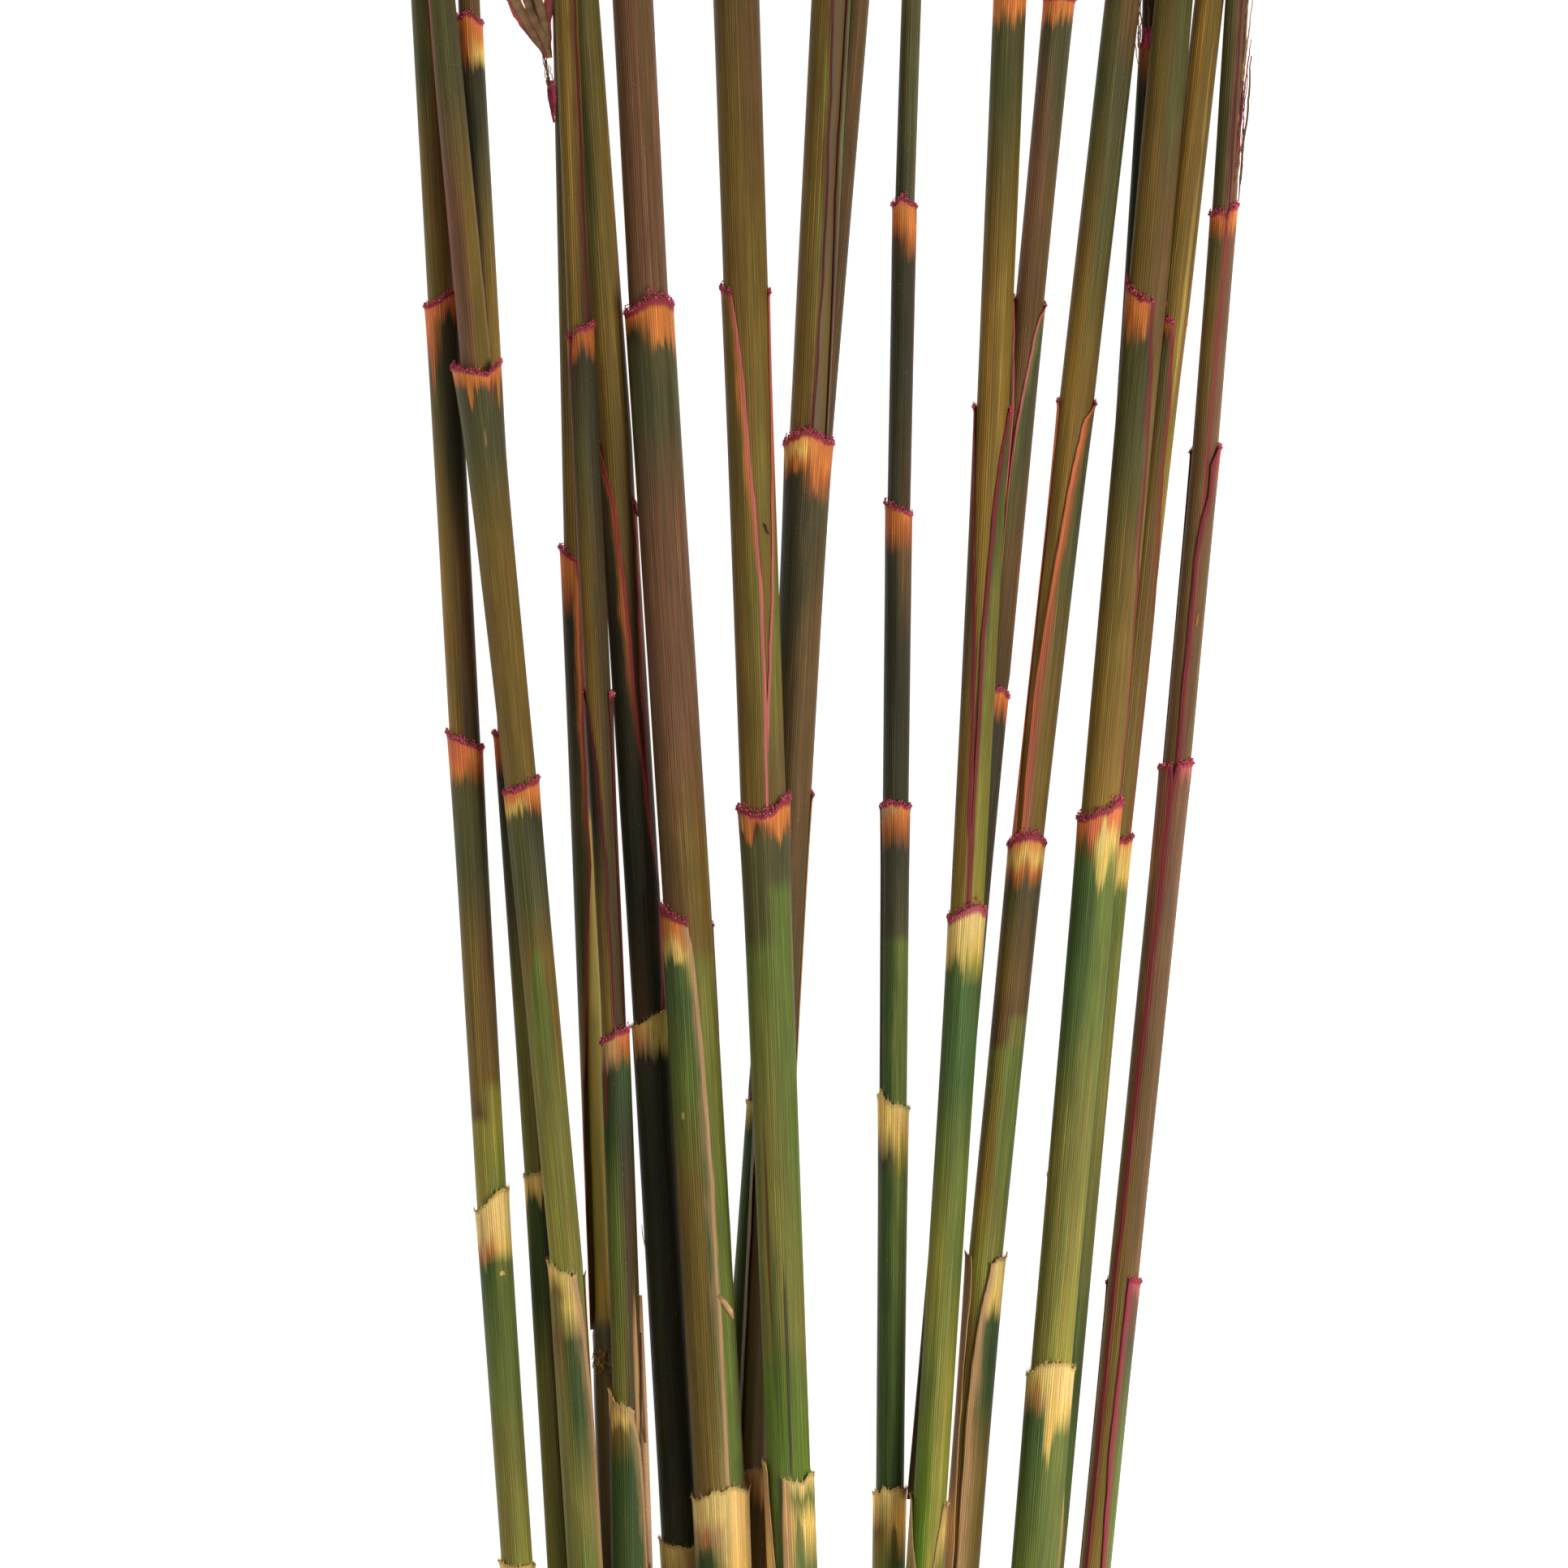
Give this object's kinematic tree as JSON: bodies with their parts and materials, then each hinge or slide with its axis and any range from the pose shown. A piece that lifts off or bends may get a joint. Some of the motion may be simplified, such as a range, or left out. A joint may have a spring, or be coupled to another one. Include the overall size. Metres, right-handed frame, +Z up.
{
  "type": "bunch of cut reeds",
  "caption": "Loose fan-shaped bunch of cut common reed stems lying flat, each a hollow culm wrapped in overlapping leaf sheaths with torn, hairy collars.",
  "frame": {"origin": "middle of the bunch's floor area, on the surface it lies on", "axes": "+Y along the reeds towards their thinner upper ends, where the bunch is widest; +X across the bunch; +Z up, away from the surface"},
  "size_m": [0.2088, 0.46, 0.0339],
  "materials": {
    "brown": "satin brown leaf sheath with fine lengthwise ribs, orange below its collar",
    "dark_green": "satin dark grey-green leaf sheath with fine lengthwise ribs",
    "olive": "satin olive-brown leaf sheath with fine lengthwise ribs, orange below its collar",
    "green": "satin green leaf sheath, its lower internodes fresher than the upper ones",
    "purple_brown": "satin purple-brown leaf sheath with fine lengthwise ribs",
    "straw": "dry cream-yellow base of a leaf sheath, streaked with green",
    "yellow_green": "satin yellow-green culm and sheath"
  },
  "bodies": {
    "root": {"reed_01_culm": "brown", "reed_01_sheath_1": "dark_green", "reed_01_sheath_2": "olive", "reed_01_sheath_3": "green", "reed_02_culm": "olive", "reed_02_sheath_1": "dark_green", "reed_02_sheath_2": "dark_green", "reed_02_sheath_3": "green", "reed_03_culm": "olive", "reed_04_culm": "olive", "reed_04_sheath_1": "brown", "reed_05_culm": "olive", "reed_05_sheath_1": "brown", "reed_05_sheath_2": "brown", "reed_05_sheath_3": "green", "reed_05_sheath_4": "green", "reed_06_culm": "olive", "reed_06_sheath_1": "dark_green", "reed_06_sheath_2": "dark_green", "reed_07_culm": "purple_brown", "reed_07_sheath_1": "purple_brown", "reed_07_sheath_2": "green", "reed_07_sheath_3": "straw", "reed_08_culm": "olive", "reed_08_sheath_1": "olive", "reed_08_sheath_2": "green", "reed_08_sheath_3": "green", "reed_09_culm": "olive", "reed_09_sheath_1": "dark_green", "reed_09_sheath_2": "brown", "reed_10_culm": "brown", "reed_11_culm": "dark_green", "reed_11_sheath_1": "dark_green", "reed_11_sheath_2": "dark_green", "reed_11_sheath_3": "dark_green", "reed_11_sheath_4": "green", "reed_11_sheath_5": "straw", "reed_12_culm": "olive", "reed_12_sheath_2": "olive", "reed_12_sheath_3": "green", "reed_12_sheath_4": "green", "reed_13_culm": "brown", "reed_13_sheath_2": "brown", "reed_14_culm": "brown", "reed_14_sheath_1": "olive", "reed_14_sheath_2": "olive", "reed_14_sheath_3": "green", "reed_15_culm": "brown", "reed_16_culm": "brown", "reed_16_sheath_1": "olive", "reed_16_sheath_2": "green", "reed_16_sheath_3": "green", "reed_17_culm": "yellow_green", "reed_17_sheath_1": "olive", "reed_17_sheath_2": "green", "reed_18_culm": "purple_brown", "reed_18_sheath_1": "brown", "reed_18_sheath_2": "purple_brown", "reed_18_sheath_3": "purple_brown", "reed_18_sheath_4": "purple_brown"}
  },
  "joints": []
}
